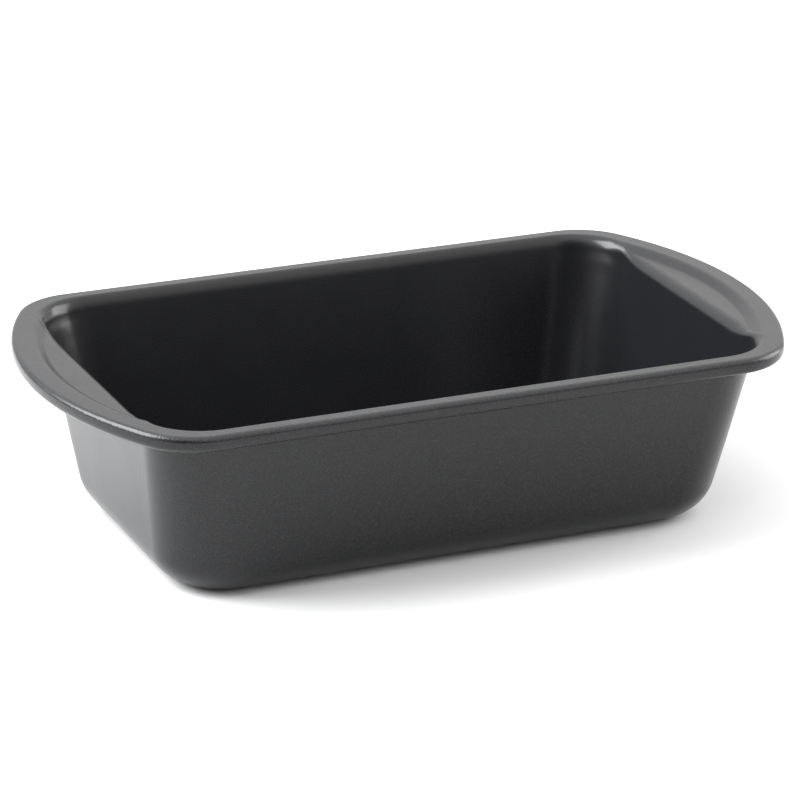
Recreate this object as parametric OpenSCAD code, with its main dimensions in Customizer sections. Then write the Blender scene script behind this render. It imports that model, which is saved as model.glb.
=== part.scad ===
// Loaf pan: a deep-drawn sheet-steel body with two end grips, its rim curled down over a closed wire.
// Millimetres, +Z up, X along the pan. The origin is the centre of the base's underside.
// "Length" and "width" sizes of the body are those of its outer face.

/* [Overall] */
// Length over the two end grips
overall_length = 280; // [276:1:292]
// Width over the curled rim
overall_width = 156.4; // [155:0.2:162]
// Height from the table to the top of the rim
height = 70.5; // [60:0.5:80]
// Thickness of the sheet
sheet = 0.7; // [0.5:0.1:0.9]

/* [Body] */
// Length of the walls, carried up to the rim's plane
top_length = 235.2; // [230:0.2:236]
// Width of the walls, carried up to the rim's plane
top_width = 143.2; // [141:0.2:144]
// Radius of the walls' upright corners, at the rim's plane
top_corner = 23; // [21:0.5:26]
// Length of the walls, carried down to the table
base_length = 213.6; // [205:0.2:220]
// Width of the walls, carried down to the table
base_width = 114.8; // [110:0.2:125]
// Radius of the walls' upright corners, at the table
base_corner = 24.6; // [22:0.2:28]
// Radius of the bend between base and walls
base_fillet = 15.8; // [10:0.2:18]

/* [Mouth] */
// Length of the mouth, between the flange's inner edges
mouth_length = 240.8; // [239:0.2:242]
// Width of the mouth, between the flange's inner edges
mouth_width = 144.8; // [144.4:0.2:146]
// Corner radius of the mouth
mouth_corner = 24; // [22:0.2:26]
// How far down the end walls the mouth's bend reaches
end_drop = 3.8; // [3:0.1:5]
// How far down the side walls the mouth's bend reaches
side_drop = 4.6; // [3:0.1:6]
// Share of the bend's width that the mouth's edge loses at the tips of the sunk panels, where it is tightest
tip_share = 0.7; // [0:0.05:0.8]

/* [Grips] */
// Radius of a grip's curved outer edge
grip_radius = 130.4; // [125:0.2:135]
// Radius of the corner between a grip and a long side
grip_corner = 25.4; // [22:0.2:28]
// Depth of the panel sunk into a grip
panel_depth = 2.2; // [1.5:0.1:3]
// Width of the raised band outside the panel, at the middle of the grip
band_width = 7.3; // [6:0.1:8]
// Radius of the arc on which the band starts to fall to the panel
band_radius = 120; // [116:0.1:123]
// Width of the sloping step down to the panel, in plan
step_width = 4.8; // [4:0.1:6]

/* [Curled rim] */
// Height of the bead
bead_height = 6.1; // [5.8:0.1:6.4]
// Radius of the bead's upper outer edge
shoulder_radius = 2; // [1.4:0.1:2.6]
// How far the sheet runs round the wire, from the bead's outermost line, in degrees
curl_sweep = 190; // [150:5:200]
// Diameter of the wire in the bead
wire_diameter = 4.2; // [3.8:0.1:4.3]

/* [Hidden] */

// Counts of flat facets along a quarter of the pan and round each bend
END_STEPS = 8;
CORNER_STEPS = 8;
SIDE_STEPS = 3;
BASE_STEPS = 4;
MOUTH_STEPS = 3;
SHOULDER_STEPS = 3;
CURL_STEPS = 8;
WIRE_SIDES = 16;

// A quarter of the pan is a run q from 0 to 3: 0 to 1 is half of an end, 1 to 2 a corner, 2 to 3 half a side
QUARTER_UP = concat(
    [for (i = [0:END_STEPS - 1]) i / END_STEPS],
    [for (i = [0:CORNER_STEPS - 1]) 1 + i / CORNER_STEPS],
    [for (i = [0:SIDE_STEPS - 1]) 2 + i / SIDE_STEPS]
);
QUARTER_DOWN = concat([3], [for (i = [len(QUARTER_UP) - 1:-1:1]) QUARTER_UP[i]]);
// Stations counter-clockwise round the whole pan, each a run and the signs of X and Y
STATIONS = concat(
    [for (q = QUARTER_UP) [q, 1, 1]],
    [for (q = QUARTER_DOWN) [q, -1, 1]],
    [for (q = QUARTER_UP) [q, -1, -1]],
    [for (q = QUARTER_DOWN) [q, 1, -1]]
);

// Lean of the walls from upright, in degrees
end_lean = atan((top_length - base_length) / 2 / height);
side_lean = atan((top_width - base_width) / 2 / height);

// The pan's outline in plan: a grip's arc runs into a corner's arc at join_angle, and that into the long side
grip_centre = overall_length / 2 - grip_radius;
corner_y = overall_width / 2 - grip_corner;
corner_x = grip_centre + sqrt(pow(grip_radius - grip_corner, 2) - pow(corner_y, 2));
join_angle = atan2(corner_y, corner_x - grip_centre);
// The end of the mouth's straight edge looks out at this angle on the grip's arc
fan_angle = 26;
fan_length = (join_angle - fan_angle) * grip_radius * PI / 180;
bend_length = (90 - join_angle) * grip_corner * PI / 180;

bead_radius = bead_height / 2;
// The step rounds off over its first share, falls evenly, and rounds into the panel over its last share
CREST_SHARE = 0.45;
FOOT_SHARE = 0.08;
step_fall = 2 / (2 - CREST_SHARE - FOOT_SHARE);
// The step's under face lies this much further out than its top face, which keeps the sheet's thickness
step_shift = sheet * tan(atan(step_fall * panel_depth / step_width) / 2);
// The mouth's edge closes in on the wall, at a panel's tip, between these runs q, and most at the middle one
tip_first = 0.76;
tip_full = 1;
tip_last = 1.36;
// Centre of the band's inner arc, and the direction from it beyond which the flange stays level
band_centre = [overall_length / 2 - band_width - band_radius, 0];
level_angle = 33;
// Radii, round that centre, of the flange's rings, which follow the step
RING_RADII = concat(
    [for (share = [1.04, 0.92, 0.68, 0.45, 0.22, 0]) band_radius - share * step_width],
    [band_radius + band_width / 2]
);
// Least share of the flange's width between two rings
ring_share = 1 / (len(RING_RADII) + 3);

function clamped(v) = min(max(v, 0), 1);
function mix(a, b, t) = a + (b - a) * t;
// Share of the step's depth reached at share t of its width
function fallen(t) =
    let (u = clamped(t), left = 1 - u)
    u < CREST_SHARE ? step_fall * u * u / 2 / CREST_SHARE
    : left < FOOT_SHARE ? 1 - step_fall * left * left / 2 / FOOT_SHARE
    : step_fall * (u - CREST_SHARE / 2);

// A round bend from a to b, whose tangents meet at v and turn through twice half_turn
function bend(a, v, b, t, half_turn) =
    let (u = 1 - t, m = 2 * cos(half_turn) * t * u)
    (u * u * a + m * v + t * t * b) / (u * u + m + t * t);

// Point q of a rounded rectangle with half sizes a and b and corner radius c
function rounded_point(q, a, b, c) =
    q < 1 ? [a, q * (b - c)]
    : q < 2 ? [a - c + c * cos(90 * (q - 1)), b - c + c * sin(90 * (q - 1))]
    : [(3 - q) * (a - c), b];

// Direction in which point q of the outline looks, in degrees from X
function outline_angle(q) =
    q <= 1 ? q * fan_angle
    : q >= 2 ? 90
    : let (run = (q - 1) * (fan_length + bend_length))
      run < fan_length ? fan_angle + run / grip_radius * 180 / PI
      : join_angle + (run - fan_length) / grip_corner * 180 / PI;
function outline_normal(q) = let (turn = outline_angle(q)) [cos(turn), sin(turn)];
function outline_point(q) =
    q > 2 ? [(3 - q) * corner_x, overall_width / 2]
    : outline_angle(q) < join_angle ? [grip_centre, 0] + grip_radius * outline_normal(q)
    : [corner_x, corner_y] + grip_corner * outline_normal(q);

// How far the flange lies below the rim's plane at plan point p, in the positive quarter
function sunk(p, shift) =
    let (arm = p - band_centre)
    atan2(arm.y, arm.x) > level_angle ? 0
    : panel_depth * fallen((band_radius - norm(arm) + shift) / step_width);

function lean_at(q) = mix(end_lean, side_lean, clamped(q - 1));
// The walls' face at height z. skin is 0 on the outer face and the sheet's thickness on the inner one
function wall_point(q, z, skin) =
    let (
        t = z / height,
        a = mix(base_length, top_length, t) / 2 - skin / cos(end_lean),
        b = mix(base_width, top_width, t) / 2 - skin / cos(side_lean),
        c = mix(base_corner, top_corner, t) - skin,
        p = rounded_point(q, a, b, c)
    )
    [p.x, p.y, z];

// Bend from the flat base, at t = 0, up to the wall, at t = 1
function base_bend(q, skin, t) =
    let (
        half_turn = (90 - lean_at(q)) / 2,
        reach = (base_fillet - skin) * tan(half_turn),
        flat = rounded_point(
            q,
            base_length / 2 - skin - reach,
            base_width / 2 - skin - reach,
            base_corner - skin - reach
        )
    )
    bend(
        [flat.x, flat.y, skin],
        wall_point(q, skin, skin),
        wall_point(q, skin + reach * cos(lean_at(q)), skin),
        t,
        half_turn
    );

// How far the mouth's edge has closed in on the wall at run q
function tip_closing(q) =
    let (
        rise = clamped((q - tip_first) / (tip_full - tip_first)),
        t = rise * clamped((tip_last - q) / (tip_last - tip_full))
    )
    tip_share * t * t * (3 - 2 * t);

// Plan point of the mouth's edge, where the bend ends and the flange begins
function mouth_point(q) =
    let (
        open = rounded_point(q, mouth_length / 2, mouth_width / 2, mouth_corner),
        wall = wall_point(q, height, 0)
    )
    mix(open, [wall.x, wall.y], tip_closing(q));
function shift_of(skin) = skin > 0 ? 0 : step_shift;

// Bend from the wall, at t = 0, out to the flange, at t = 1
function mouth_bend(q, skin, t) =
    let (
        half_turn = (90 - lean_at(q)) / 2,
        m = mouth_point(q),
        z = height - sheet + skin - sunk(m, shift_of(skin)),
        reach = mix(end_drop, side_drop, clamped(q - 1)) * (1 - tip_closing(q) / 2),
        drop = reach - (sheet - skin) * tan(half_turn)
    )
    let (low = wall_point(q, z - drop * cos(lean_at(q)), skin))
    bend(low, wall_point(q, z, skin), [m.x, m.y, z], t, half_turn);

// Share of the way from a to b at which the line crosses the circle of the given radius round band_centre
function crossing(a, b, radius) =
    let (
        arm = a - band_centre,
        way = b - a,
        along = arm * way
    )
    (sqrt(max(pow(along, 2) - way * way * (arm * arm - pow(radius, 2)), 0)) - along) / (way * way);

// Ring k of the flange: the first lies outside the mouth's edge, and the last is the shoulder's start
function flange_point(q, skin, k) =
    let (
        m = mouth_point(q),
        last = outline_point(q) - shoulder_radius * outline_normal(q),
        least = (k + 1) * ring_share,
        most = 1 - (len(RING_RADII) - k) * ring_share,
        share = k == len(RING_RADII) ? 1 : max(least, min(most, crossing(m, last, RING_RADII[k]))),
        p = mix(m, last, share)
    )
    [p.x, p.y, height - sheet + skin - sunk(p, shift_of(skin))];

// Point on a round of radius r, centred at an equal inset and depth, turned from the outward direction
function rim_point(q, centre, r, turn) =
    let (p = outline_point(q) + (r * cos(turn) - centre) * outline_normal(q))
    [p.x, p.y, height - centre + r * sin(turn)];
function shoulder_point(q, skin, t) =
    rim_point(q, shoulder_radius, shoulder_radius - sheet + skin, 90 * (1 - t));
function curl_point(q, skin, t) = rim_point(q, bead_radius, bead_radius - sheet + skin, -curl_sweep * t);

// One face of the sheet at station q, from the base's flat out to the curled edge
function face_profile(q, skin) = concat(
    [for (i = [0:BASE_STEPS]) base_bend(q, skin, i / BASE_STEPS)],
    [mix(base_bend(q, skin, 1), mouth_bend(q, skin, 0), 0.5)],
    [for (i = [0:MOUTH_STEPS]) mouth_bend(q, skin, i / MOUTH_STEPS)],
    [for (k = [0:len(RING_RADII)]) flange_point(q, skin, k)],
    [for (i = [1:SHOULDER_STEPS]) shoulder_point(q, skin, i / SHOULDER_STEPS)],
    [for (i = [0:CURL_STEPS]) curl_point(q, skin, i / CURL_STEPS)]
);
// Both faces as one closed profile: out along the inner face, back along the outer one
function profile(q) =
    let (back = face_profile(q, 0))
    concat(face_profile(q, sheet), [for (i = [len(back) - 1:-1:0]) back[i]]);

// A point of the positive quarter, carried to the quarter that station s lies in
function placed(p, s) = [p.x * s[1], p.y * s[2], p.z];
// Triangles between the rings of count stations. A closed profile also joins its last point to its first
function skin_faces(count, points, closed) = [
    for (i = [0:count - 1], j = [0:points - (closed ? 1 : 2)])
    let (
        a = i * points,
        b = (i + 1) % count * points,
        k = (j + 1) % points
    )
    each [[a + j, b + j, b + k], [a + j, b + k, a + k]]
];

// The sheet-steel body, skinned between the stations' profiles
module pan_body() {
    rows = [for (s = STATIONS) [for (p = profile(s[0])) placed(p, s)]];
    count = len(rows);
    points = len(rows[0]);
    centre = count * points;
    base_faces = [
        for (i = [0:count - 1])
        let (j = (i + 1) % count)
        each [
            [j * points, i * points, centre],
            [(i + 1) * points - 1, (j + 1) * points - 1, centre + 1]
        ]
    ];
    color([0.19, 0.19, 0.2])
    polyhedron(
        points = concat([for (row = rows) each row], [[0, 0, sheet], [0, 0, 0]]),
        faces = concat(skin_faces(count, points, false), base_faces),
        convexity = 6
    );
}

// The closed wire ring that fills the curled rim
module rim_wire() {
    turns = [for (i = [0:WIRE_SIDES - 1]) -360 * i / WIRE_SIDES];
    color([0.62, 0.62, 0.63])
    polyhedron(
        points = [
            for (s = STATIONS, turn = turns)
            placed(rim_point(s[0], bead_radius, wire_diameter / 2, turn), s)
        ],
        faces = skin_faces(len(STATIONS), WIRE_SIDES, true),
        convexity = 4
    );
}

pan_body();
rim_wire();
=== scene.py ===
"""Loaf pan: a deep-drawn, dark-coated steel pan with two end grips and a curled, wire-filled rim."""
from math import atan, atan2, cos, pi, radians, sin, sqrt, tan

import bpy
from mathutils import Matrix, Vector


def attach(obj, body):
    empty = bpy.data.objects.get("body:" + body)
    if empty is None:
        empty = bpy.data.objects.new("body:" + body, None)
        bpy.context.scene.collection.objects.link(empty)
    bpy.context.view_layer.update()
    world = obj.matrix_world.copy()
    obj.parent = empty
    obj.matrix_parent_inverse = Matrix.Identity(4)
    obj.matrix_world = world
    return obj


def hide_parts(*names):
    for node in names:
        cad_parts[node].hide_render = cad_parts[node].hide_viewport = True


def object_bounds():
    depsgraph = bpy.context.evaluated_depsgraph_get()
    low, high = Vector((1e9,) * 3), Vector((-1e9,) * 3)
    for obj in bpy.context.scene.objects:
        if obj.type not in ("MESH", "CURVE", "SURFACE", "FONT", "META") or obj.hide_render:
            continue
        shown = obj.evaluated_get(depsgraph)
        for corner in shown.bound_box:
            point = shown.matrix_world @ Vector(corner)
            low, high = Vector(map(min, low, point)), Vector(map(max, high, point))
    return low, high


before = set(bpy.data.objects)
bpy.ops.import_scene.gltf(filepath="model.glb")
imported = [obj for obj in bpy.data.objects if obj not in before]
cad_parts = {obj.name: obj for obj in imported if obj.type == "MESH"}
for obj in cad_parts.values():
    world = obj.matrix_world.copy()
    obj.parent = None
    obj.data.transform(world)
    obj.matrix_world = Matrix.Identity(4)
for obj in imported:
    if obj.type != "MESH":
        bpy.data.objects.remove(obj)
CAD_LOW, CAD_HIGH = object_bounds()
MM = 0.001

# Overall size, from the frame
LENGTH = CAD_HIGH.x - CAD_LOW.x
WIDTH = CAD_HIGH.y - CAD_LOW.y
HEIGHT = CAD_HIGH.z
SHEET = 0.7 * MM

# Walls: outer faces, carried up to the rim's plane and down to the table
TOP_LENGTH = 235.2 * MM
TOP_WIDTH = 143.2 * MM
TOP_CORNER = 23 * MM
BASE_LENGTH = 213.6 * MM
BASE_WIDTH = 114.8 * MM
BASE_CORNER = 24.6 * MM
BASE_FILLET = 15.8 * MM

# Mouth, between the flange's inner edges
MOUTH_LENGTH = 240.8 * MM
MOUTH_WIDTH = 144.8 * MM
MOUTH_CORNER = 24 * MM
# How far down the walls its bend reaches
END_DROP = 3.8 * MM
SIDE_DROP = 4.6 * MM
# At the tips of the sunk panels the mouth's edge closes in on the wall: by this share of the way at the most,
# and between these runs q, which are explained below
TIP_SHARE = 0.7
TIP_FIRST = 0.76
TIP_FULL = 1.0
TIP_LAST = 1.36

# Grips
GRIP_RADIUS = 130.4 * MM
GRIP_CORNER = 25.4 * MM
PANEL_DEPTH = 2.2 * MM
BAND_WIDTH = 7.3 * MM
BAND_RADIUS = 120 * MM
STEP_WIDTH = 4.8 * MM
# The step rounds off over its first share, falls evenly, and rounds into the panel over its last share
CREST_SHARE = 0.45
FOOT_SHARE = 0.08
STEP_FALL = 2 / (2 - CREST_SHARE - FOOT_SHARE)

# Curled rim and the wire in it
BEAD_RADIUS = 3.05 * MM
SHOULDER_RADIUS = 2 * MM
CURL_SWEEP = radians(190)
WIRE_RADIUS = 2.1 * MM

# The draw mark in the walls' corners, below the mouth's bend: seen from inside the pan, a shallow groove and
# a swelling under it. It runs from q = MARK_FIRST over a run of MARK_RUN, and ripples a little on the way
MARK_DEPTH = 0.16 * MM
MARK_TOP = 3.4 * MM
MARK_HEIGHT = 8.5 * MM
MARK_FIRST = 0.9
MARK_RUN = 1.0
# Below 1, the mark keeps its depth until close to its ends
MARK_FADING = 0.6
# Share by which its depth varies, share by which it rises and falls, and how many radians each goes through
RIPPLE_DEPTH = 0.2
RIPPLE_DEPTH_RADIANS = 14
RIPPLE_RISE = 0.12
RIPPLE_RISE_RADIANS = 9

# Facets along a quarter of the pan and round each bend
END_STEPS = 56
CORNER_STEPS = 40
SIDE_STEPS = 14
BASE_STEPS = 12
WALL_STEPS = 18
MOUTH_STEPS = 10
SHOULDER_STEPS = 8
CURL_STEPS = 18
WIRE_SIDES = 20
# Above 1, the wall's rings crowd toward its top
WALL_CROWDING = 1.5
# An edge that turns more sharply than this is shaded as an edge
SHARP_TURN = radians(50)

END_LEAN = atan((TOP_LENGTH - BASE_LENGTH) / 2 / HEIGHT)
SIDE_LEAN = atan((TOP_WIDTH - BASE_WIDTH) / 2 / HEIGHT)
GRIP_CENTRE = Vector((LENGTH / 2 - GRIP_RADIUS, 0))
CORNER_CENTRE = Vector((0, WIDTH / 2 - GRIP_CORNER))
CORNER_CENTRE.x = GRIP_CENTRE.x + sqrt((GRIP_RADIUS - GRIP_CORNER) ** 2 - CORNER_CENTRE.y ** 2)
# Directions in which the outline looks: where the grip's arc joins the corner's, and at q = 1
JOIN_TURN = atan2(CORNER_CENTRE.y, CORNER_CENTRE.x - GRIP_CENTRE.x)
FAN_TURN = radians(26)
# Centre of the band's inner arc, and the direction from it beyond which the flange stays level
BAND_CENTRE = Vector((LENGTH / 2 - BAND_WIDTH - BAND_RADIUS, 0))
LEVEL_TURN = radians(33)
# The underside's step lies this far outward of the upper one, so that the sheet is no thinner on the slope
STEP_SHIFT = SHEET * tan(atan(STEP_FALL * PANEL_DEPTH / STEP_WIDTH) / 2)


def clamp(value):
    return min(max(value, 0.0), 1.0)


def mix(a, b, t):
    return a + (b - a) * t


def fallen(t):
    """Share of the step's depth reached at share t of its width."""
    u = clamp(t)
    if u < CREST_SHARE:
        return STEP_FALL * u * u / 2 / CREST_SHARE
    if 1 - u < FOOT_SHARE:
        return 1 - STEP_FALL * (1 - u) ** 2 / 2 / FOOT_SHARE
    return STEP_FALL * (u - CREST_SHARE / 2)


def bend(a, v, b, t, half_turn):
    """A round bend from a to b, whose tangents meet at v and turn through twice half_turn."""
    u = 1 - t
    m = 2 * cos(half_turn) * t * u
    return (a * (u * u) + v * m + b * (t * t)) / (u * u + m + t * t)


# --- the pan's plan, for one quarter
# q runs 0 to 1 along half an end, 1 to 2 round a corner, 2 to 3 along half a side

def rounded_point(q, a, b, c):
    """Point q of a rounded rectangle with half sizes a and b and corner radius c."""
    if q < 1:
        return Vector((a, q * (b - c)))
    if q < 2:
        turn = pi / 2 * (q - 1)
        return Vector((a - c + c * cos(turn), b - c + c * sin(turn)))
    return Vector(((3 - q) * (a - c), b))


def outline_turn(q):
    """Direction in which point q of the outline looks."""
    if q <= 1:
        return q * FAN_TURN
    if q >= 2:
        return pi / 2
    fan_length = (JOIN_TURN - FAN_TURN) * GRIP_RADIUS
    run = (q - 1) * (fan_length + (pi / 2 - JOIN_TURN) * GRIP_CORNER)
    if run < fan_length:
        return FAN_TURN + run / GRIP_RADIUS
    return JOIN_TURN + (run - fan_length) / GRIP_CORNER


def outline(q):
    """Point q of the outline, and the direction it looks in as a vector."""
    turn = outline_turn(q)
    normal = Vector((cos(turn), sin(turn)))
    if q > 2:
        return Vector(((3 - q) * CORNER_CENTRE.x, WIDTH / 2)), normal
    if turn < JOIN_TURN:
        return GRIP_CENTRE + GRIP_RADIUS * normal, normal
    return CORNER_CENTRE + GRIP_CORNER * normal, normal


def sunk(p, shift):
    """How far the flange lies below the rim's plane at plan point p."""
    arm = p - BAND_CENTRE
    if atan2(arm.y, arm.x) > LEVEL_TURN:
        return 0.0
    return PANEL_DEPTH * fallen((BAND_RADIUS - arm.length + shift) / STEP_WIDTH)


def lean_at(q):
    return mix(END_LEAN, SIDE_LEAN, clamp(q - 1))


def wall_point(q, z, skin):
    """The walls' face at height z. skin is 0 on the outer face and the sheet's thickness on the inner one."""
    t = z / HEIGHT
    a = mix(BASE_LENGTH, TOP_LENGTH, t) / 2 - skin / cos(END_LEAN)
    b = mix(BASE_WIDTH, TOP_WIDTH, t) / 2 - skin / cos(SIDE_LEAN)
    p = rounded_point(q, a, b, mix(BASE_CORNER, TOP_CORNER, t) - skin)
    return p.to_3d() + Vector((0, 0, z))


def base_bend(q, skin, t):
    """The bend from the flat base, at t = 0, up to the wall, at t = 1."""
    half_turn = (pi / 2 - lean_at(q)) / 2
    reach = (BASE_FILLET - skin) * tan(half_turn)
    inset = skin + reach
    flat = rounded_point(q, BASE_LENGTH / 2 - inset, BASE_WIDTH / 2 - inset, BASE_CORNER - inset)
    top = wall_point(q, skin + reach * cos(lean_at(q)), skin)
    return bend(flat.to_3d() + Vector((0, 0, skin)), wall_point(q, skin, skin), top, t, half_turn)


def draw_mark(q, p):
    """Point p of a wall or its bend, moved by the draw mark that deep drawing leaves in the corners."""
    along = (q - MARK_FIRST) / MARK_RUN
    deep = (HEIGHT - p.z - MARK_TOP) / MARK_HEIGHT
    if not (0 < along < 1 and 0 < deep < 1):
        return p
    ripple = 1 - RIPPLE_DEPTH + RIPPLE_DEPTH * cos(RIPPLE_DEPTH_RADIANS * along)
    fade = sin(pi * along) ** MARK_FADING * ripple
    wave = sin(2 * pi * (deep - RIPPLE_RISE * sin(RIPPLE_RISE_RADIANS * along))) * sin(pi * deep)
    turn = pi / 2 * clamp(q - 1)
    out = MARK_DEPTH * fade * wave
    return p + Vector((cos(turn) * out, sin(turn) * out, 0))


def tip_share(q):
    """How far the mouth's edge has closed in on the wall at station q, at the tip of a sunk panel."""
    t = clamp((q - TIP_FIRST) / (TIP_FULL - TIP_FIRST)) * clamp((TIP_LAST - q) / (TIP_LAST - TIP_FULL))
    return TIP_SHARE * t * t * (3 - 2 * t)


def mouth_point(q):
    """Plan point of the mouth's edge, where the bend ends and the flange begins."""
    m = rounded_point(q, MOUTH_LENGTH / 2, MOUTH_WIDTH / 2, MOUTH_CORNER)
    return mix(m, wall_point(q, HEIGHT, 0).to_2d(), tip_share(q))


def mouth_bend(q, skin, t):
    """The bend from the wall, at t = 0, out to the flange, at t = 1."""
    half_turn = (pi / 2 - lean_at(q)) / 2
    m = mouth_point(q)
    z = HEIGHT - SHEET + skin - sunk(m, 0 if skin else STEP_SHIFT)
    drop = mix(END_DROP, SIDE_DROP, clamp(q - 1)) * (1 - tip_share(q) / 2) - (SHEET - skin) * tan(half_turn)
    low = wall_point(q, z - drop * cos(lean_at(q)), skin)
    return bend(low, wall_point(q, z, skin), Vector((m.x, m.y, z)), t, half_turn)


def ring_radii():
    """Radii, round the band's centre, of the flange's rings, which follow the step and crowd at its foot."""
    panel = [2.6, 2.1, 1.7, 1.4, 1.2]
    foot = [1.08, 1.02, 0.98, 0.94, 0.9, 0.84]
    slope = [0.76 - 0.08 * i for i in range(11)]
    band = [-0.25, -0.5, -0.75, -1.0, -1.2]
    return [BAND_RADIUS - share * STEP_WIDTH for share in panel + foot + slope + band]


def crossing(a, b, radius):
    """Share of the way from a to b at which the line crosses that circle round the band's centre."""
    arm, way = a - BAND_CENTRE, b - a
    along = arm.dot(way)
    reach = along * along - way.dot(way) * (arm.dot(arm) - radius * radius)
    return (sqrt(max(reach, 0)) - along) / way.dot(way)


def flange_rings(q, skin):
    """The flange's rings, outside the mouth's edge out to the shoulder's start."""
    m = mouth_point(q)
    edge, normal = outline(q)
    last = edge - SHOULDER_RADIUS * normal
    radii = ring_radii()
    least = 1 / (len(radii) + 3)
    points = []
    for k, radius in enumerate(radii):
        share = min(1 - (len(radii) - k) * least, crossing(m, last, radius))
        points.append(mix(m, last, max((k + 1) * least, share)))
    points.append(last)
    lift = HEIGHT - SHEET + skin
    return [Vector((p.x, p.y, lift - sunk(p, 0 if skin else STEP_SHIFT))) for p in points]


def rim_point(q, centre, r, turn):
    """A point on a round of radius r, centred at an equal inset and depth. turn 0 looks outward."""
    edge, normal = outline(q)
    p = edge + (r * cos(turn) - centre) * normal
    return Vector((p.x, p.y, HEIGHT - centre + r * sin(turn)))


def steps(first, count):
    return [i / count for i in range(first, count + 1)]


def face_profile(q, skin):
    """One face of the sheet at station q, from the base's flat out to the curled edge."""
    low, high = base_bend(q, skin, 1), mouth_bend(q, skin, 0)
    points = [base_bend(q, skin, t) for t in steps(0, BASE_STEPS)]
    points += [draw_mark(q, mix(low, high, 1 - (1 - t) ** WALL_CROWDING)) for t in steps(1, WALL_STEPS)]
    points += [draw_mark(q, mouth_bend(q, skin, t)) for t in steps(1, MOUTH_STEPS)]
    points += flange_rings(q, skin)
    round_off = SHEET - skin
    points += [
        rim_point(q, SHOULDER_RADIUS, SHOULDER_RADIUS - round_off, pi / 2 * (1 - t))
        for t in steps(1, SHOULDER_STEPS)
    ]
    points += [
        rim_point(q, BEAD_RADIUS, BEAD_RADIUS - round_off, -CURL_SWEEP * t)
        for t in steps(0, CURL_STEPS)
    ]
    return points


def stations():
    """Stations counter-clockwise round the whole pan: each a run q and the signs of X and Y."""
    up = [i / END_STEPS for i in range(END_STEPS)]
    up += [1 + i / CORNER_STEPS for i in range(CORNER_STEPS)]
    up += [2 + i / SIDE_STEPS for i in range(SIDE_STEPS)]
    down = [3.0] + up[:0:-1]
    quarters = ((up, 1, 1), (down, -1, 1), (up, -1, -1), (down, 1, -1))
    return [(q, sx, sy) for run, sx, sy in quarters for q in run]


def placed(p, sx, sy):
    return (p.x * sx, p.y * sy, p.z)


def skin_faces(count, points, closed):
    """Quads between the rings of count stations. A closed profile also joins its last point to its first."""
    faces = []
    for i in range(count):
        a, b = i * points, (i + 1) % count * points
        for j in range(points if closed else points - 1):
            k = (j + 1) % points
            faces.append((a + j, b + j, b + k, a + k))
    return faces


def smooth_object(name, points, faces):
    mesh = bpy.data.meshes.new(name)
    mesh.from_pydata(points, [], faces)
    mesh.shade_smooth()
    mesh.set_sharp_from_angle(angle=SHARP_TURN)
    obj = bpy.data.objects.new(name, mesh)
    bpy.context.scene.collection.objects.link(obj)
    return obj


def pan_shell():
    """The drawn sheet-steel body, both faces and the cut edge of the curl."""
    profiles = {}
    rows = []
    for q, sx, sy in stations():
        if q not in profiles:
            profiles[q] = face_profile(q, SHEET) + face_profile(q, 0)[::-1]
        rows.append([placed(p, sx, sy) for p in profiles[q]])
    count, points = len(rows), len(rows[0])
    centre = count * points
    faces = skin_faces(count, points, False)
    for i in range(count):
        j = (i + 1) % count
        faces.append((j * points, i * points, centre))
        faces.append((i * points + points - 1, j * points + points - 1, centre + 1))
    vertices = [p for row in rows for p in row] + [(0, 0, SHEET), (0, 0, 0)]
    return smooth_object("drawn_pan_body", vertices, faces)


def wire_ring():
    """The closed wire that the rim is curled round."""
    runs = stations()
    turns = [-2 * pi * i / WIRE_SIDES for i in range(WIRE_SIDES)]
    points = [placed(rim_point(q, BEAD_RADIUS, WIRE_RADIUS, t), sx, sy) for q, sx, sy in runs for t in turns]
    return smooth_object("rim_wire_ring", points, skin_faces(len(runs), WIRE_SIDES, True))


# --- materials

class Nodes:
    """A short way to build a node tree: add a node, set its inputs by name, link to them."""

    def __init__(self, tree):
        self.tree = tree

    def add(self, kind, inputs=None, **settings):
        node = self.tree.nodes.new(kind)
        for key, value in settings.items():
            setattr(node, key, value)
        for key, value in (inputs or {}).items():
            if isinstance(value, bpy.types.NodeSocket):
                self.tree.links.new(value, node.inputs[key])
            else:
                node.inputs[key].default_value = value
        return node

    def ramp(self, factor, stops):
        node = self.add("ShaderNodeValToRGB", {"Fac": factor})
        ends = node.color_ramp.elements
        for i, (place, colour) in enumerate(stops):
            stop = ends[i] if i < 2 else ends.new(place)
            stop.position = place
            stop.color = (*colour, 1)
        return node.outputs["Color"]


def new_material(name):
    material = bpy.data.materials.new(name)
    material.use_nodes = True
    material.node_tree.nodes.clear()
    return material, Nodes(material.node_tree)


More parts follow.
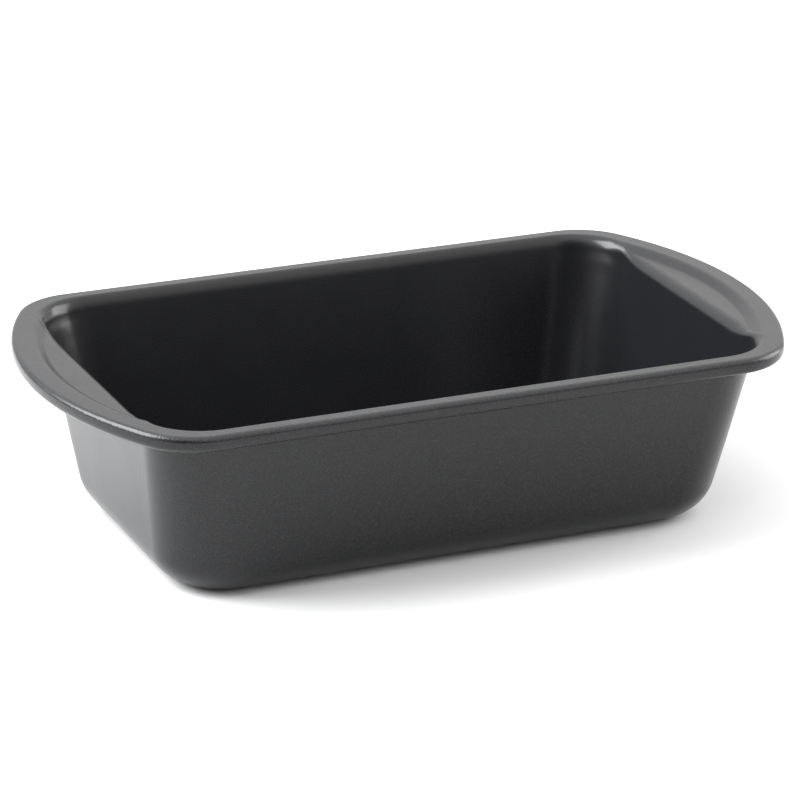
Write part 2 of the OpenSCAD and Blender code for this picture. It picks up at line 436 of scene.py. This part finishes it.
def coated_sheet():
    """Charcoal non-stick coating: satin, with fine flakes and a faint orange-peel relief."""
    material, n = new_material("charcoal_nonstick")
    place = n.add("ShaderNodeTexCoord").outputs["Object"]
    flakes = n.add("ShaderNodeTexVoronoi", {"Vector": place, "Scale": 2700.0})
    flake_shade = n.add("ShaderNodeSeparateColor", {"Color": flakes.outputs["Color"]}).outputs["Red"]
    cloud = n.add("ShaderNodeTexNoise", {"Vector": place, "Scale": 60.0, "Detail": 4.0}).outputs["Fac"]
    peel = n.add("ShaderNodeTexNoise", {"Vector": place, "Scale": 1100.0, "Detail": 3.0}).outputs["Fac"]
    # Facing away from the pan's middle means outside, where the coating is grainier than on the smooth inside
    facing = n.add("ShaderNodeNewGeometry").outputs["Normal"]
    outward = n.add("ShaderNodeVectorMath", {0: facing, 1: place}, operation="DOT_PRODUCT").outputs["Value"]
    outside = n.add(
        "ShaderNodeMapRange",
        {"Value": outward, "From Min": -0.02, "From Max": 0.02},
    ).outputs["Result"]
    flake_share = n.add("ShaderNodeMapRange", {"Value": outside, "To Min": 0.12}).outputs["Result"]
    shade = n.add("ShaderNodeMix", {0: flake_share, 2: 0.62, 3: flake_shade}).outputs[0]
    dark = (0.0042, 0.0043, 0.0048)
    grey = (0.0105, 0.0108, 0.0122)
    pale = (0.019, 0.0195, 0.0215)
    colour = n.ramp(shade, [(0.0, dark), (0.85, grey), (1.0, pale)])
    rough = n.add(
        "ShaderNodeMapRange",
        {"Value": cloud, "From Min": 0.3, "From Max": 0.7, "To Min": 0.2, "To Max": 0.25},
    )
    peel_share = n.add("ShaderNodeMapRange", {"Value": outside, "To Min": 0.15}).outputs["Result"]
    grain_share = n.add(
        "ShaderNodeMapRange",
        {"Value": outside, "To Min": 0.02, "To Max": 0.3},
    ).outputs["Result"]
    relief = n.add("ShaderNodeBump", {"Height": peel, "Strength": peel_share, "Distance": 0.0001})
    grain = n.add(
        "ShaderNodeBump",
        {
            "Height": flake_shade,
            "Strength": grain_share,
            "Distance": 0.00003,
            "Normal": relief.outputs["Normal"],
        },
    )
    shader = n.add(
        "ShaderNodeBsdfPrincipled",
        {
            "Base Color": colour,
            "Roughness": rough.outputs["Result"],
            "Normal": grain.outputs["Normal"],
            "IOR": 1.39,
        },
    )
    n.add("ShaderNodeOutputMaterial", {"Surface": shader.outputs["BSDF"]})
    return material


def drawn_wire():
    """Bare drawn steel wire with fine lengthwise streaks."""
    material, n = new_material("drawn_steel_wire")
    place = n.add("ShaderNodeTexCoord").outputs["Object"]
    streaks = n.add("ShaderNodeTexNoise", {"Vector": place, "Scale": 700.0, "Detail": 5.0}).outputs["Fac"]
    colour = n.ramp(streaks, [(0.3, (0.38, 0.38, 0.39)), (0.7, (0.6, 0.6, 0.61))])
    rough = n.add("ShaderNodeMapRange", {"Value": streaks, "To Min": 0.25, "To Max": 0.45})
    relief = n.add("ShaderNodeBump", {"Height": streaks, "Strength": 0.2, "Distance": 0.00005})
    shader = n.add(
        "ShaderNodeBsdfPrincipled",
        {
            "Base Color": colour,
            "Metallic": 1.0,
            "Roughness": rough.outputs["Result"],
            "Normal": relief.outputs["Normal"],
        },
    )
    n.add("ShaderNodeOutputMaterial", {"Surface": shader.outputs["BSDF"]})
    return material


# --- stage

def floor():
    mesh = bpy.data.meshes.new("studio_floor")
    half = 6.0
    corners = [(-half, -half, 0), (half, -half, 0), (half, half, 0), (-half, half, 0)]
    mesh.from_pydata(corners, [], [(0, 1, 2, 3)])
    obj = bpy.data.objects.new("studio_floor", mesh)
    bpy.context.scene.collection.objects.link(obj)
    material, n = new_material("pale_floor")
    shader = n.add("ShaderNodeBsdfPrincipled", {"Base Color": (0.55, 0.55, 0.55, 1), "Roughness": 0.8})
    n.add("ShaderNodeOutputMaterial", {"Surface": shader.outputs["BSDF"]})
    mesh.materials.append(material)


def studio_sky():
    """Studio surround: brighter overhead, dimmer along the horizon, and dark on the photographer's side."""
    world = bpy.data.worlds.new("studio")
    bpy.context.scene.world = world
    world.use_nodes = True
    world.node_tree.nodes.clear()
    n = Nodes(world.node_tree)
    direction = n.add("ShaderNodeTexCoord").outputs["Generated"]
    axes = n.add("ShaderNodeSeparateXYZ", {"Vector": direction}).outputs
    back_heights = [(0.0, 0.24), (0.12, 0.36), (0.26, 0.52), (0.57, 0.64), (0.82, 0.92), (1.0, 1.0)]
    front_heights = [(0.0, 0.05), (0.09, 0.15), (0.26, 0.62), (0.45, 0.72), (1.0, 0.95)]
    back = n.ramp(axes["Z"], [(place, (g, g, g)) for place, g in back_heights])
    front = n.ramp(axes["Z"], [(place, (g, g, g)) for place, g in front_heights])
    # The level direction of the dark room: behind the camera, and a little to its left
    room_way = (-0.574, -0.819, 0.0)
    toward_room = n.add(
        "ShaderNodeVectorMath",
        {0: direction, 1: room_way},
        operation="DOT_PRODUCT",
    ).outputs["Value"]
    unlit = n.add(
        "ShaderNodeMapRange",
        {"Value": toward_room, "From Min": 0.55, "From Max": 0.9, "To Min": 1.0, "To Max": 0.03},
        interpolation_type="SMOOTHSTEP",
    ).outputs["Result"]
    room = n.add("ShaderNodeVectorMath", {0: front, "Scale": unlit}, operation="SCALE").outputs["Vector"]
    depth = n.add(
        "ShaderNodeMapRange",
        {"Value": axes["Y"], "From Min": -0.8, "From Max": 0.0},
        interpolation_type="SMOOTHSTEP",
    ).outputs["Result"]
    shade = n.add("ShaderNodeMix", {0: depth, 4: room, 5: back}, data_type="VECTOR").outputs[1]
    sky = n.add("ShaderNodeBackground", {"Color": shade, "Strength": 2.7})
    n.add("ShaderNodeOutputWorld", {"Surface": sky.outputs["Background"]})


def softbox(name, place, aim, size, watts, colour=(1, 1, 1)):
    light = bpy.data.lights.new(name, "AREA")
    light.shape = "RECTANGLE"
    light.size, light.size_y = size
    light.energy = watts
    light.color = colour
    obj = bpy.data.objects.new(name, light)
    bpy.context.scene.collection.objects.link(obj)
    obj.location = place
    obj.rotation_euler = (Vector(aim) - Vector(place)).to_track_quat("-Z", "Y").to_euler()


def camera():
    """A long lens, low and to the left of the pan's front."""
    azimuth = radians(-24.31)
    elevation = radians(20.91)
    roll = radians(0.95)
    distance = 1448.96 * MM
    # The lens looks at a point near the pan's middle, moved aside and up across the view
    aside = 0.79 * MM
    above = 6.32 * MM
    middle = Vector((0, 0, 35 * MM))
    back = Vector((sin(azimuth) * cos(elevation), -cos(azimuth) * cos(elevation), sin(elevation)))
    level = Vector((0, 0, 1)).cross(back).normalized()
    upright = back.cross(level)
    right = cos(roll) * level + sin(roll) * upright
    up = cos(roll) * upright - sin(roll) * level
    aim = level * aside + upright * above + middle
    data = bpy.data.cameras.new("camera")
    data.sensor_width = 36
    data.lens = 179.1
    obj = bpy.data.objects.new("camera", data)
    bpy.context.scene.collection.objects.link(obj)
    turn = Matrix((right, up, back)).transposed().to_4x4()
    obj.matrix_world = Matrix.Translation(aim + back * distance) @ turn
    bpy.context.scene.camera = obj


body = pan_shell()
body.data.materials.append(coated_sheet())
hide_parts("pan_body")
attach(body, "root")

wire = wire_ring()
wire.data.materials.append(drawn_wire())
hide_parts("rim_wire")
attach(wire, "root")

floor()
studio_sky()
softbox("key_softbox", (-1.385, 0.56, 1.239), (0, 0, 0.03), (1.5, 1.5), 104, (0.97, 0.985, 1))
softbox("fill_softbox", (1.19, -0.168, 0.487), (0, 0, 0.03), (0.95, 0.85), 16)
camera()
bpy.context.scene.view_settings.view_transform = "Standard"
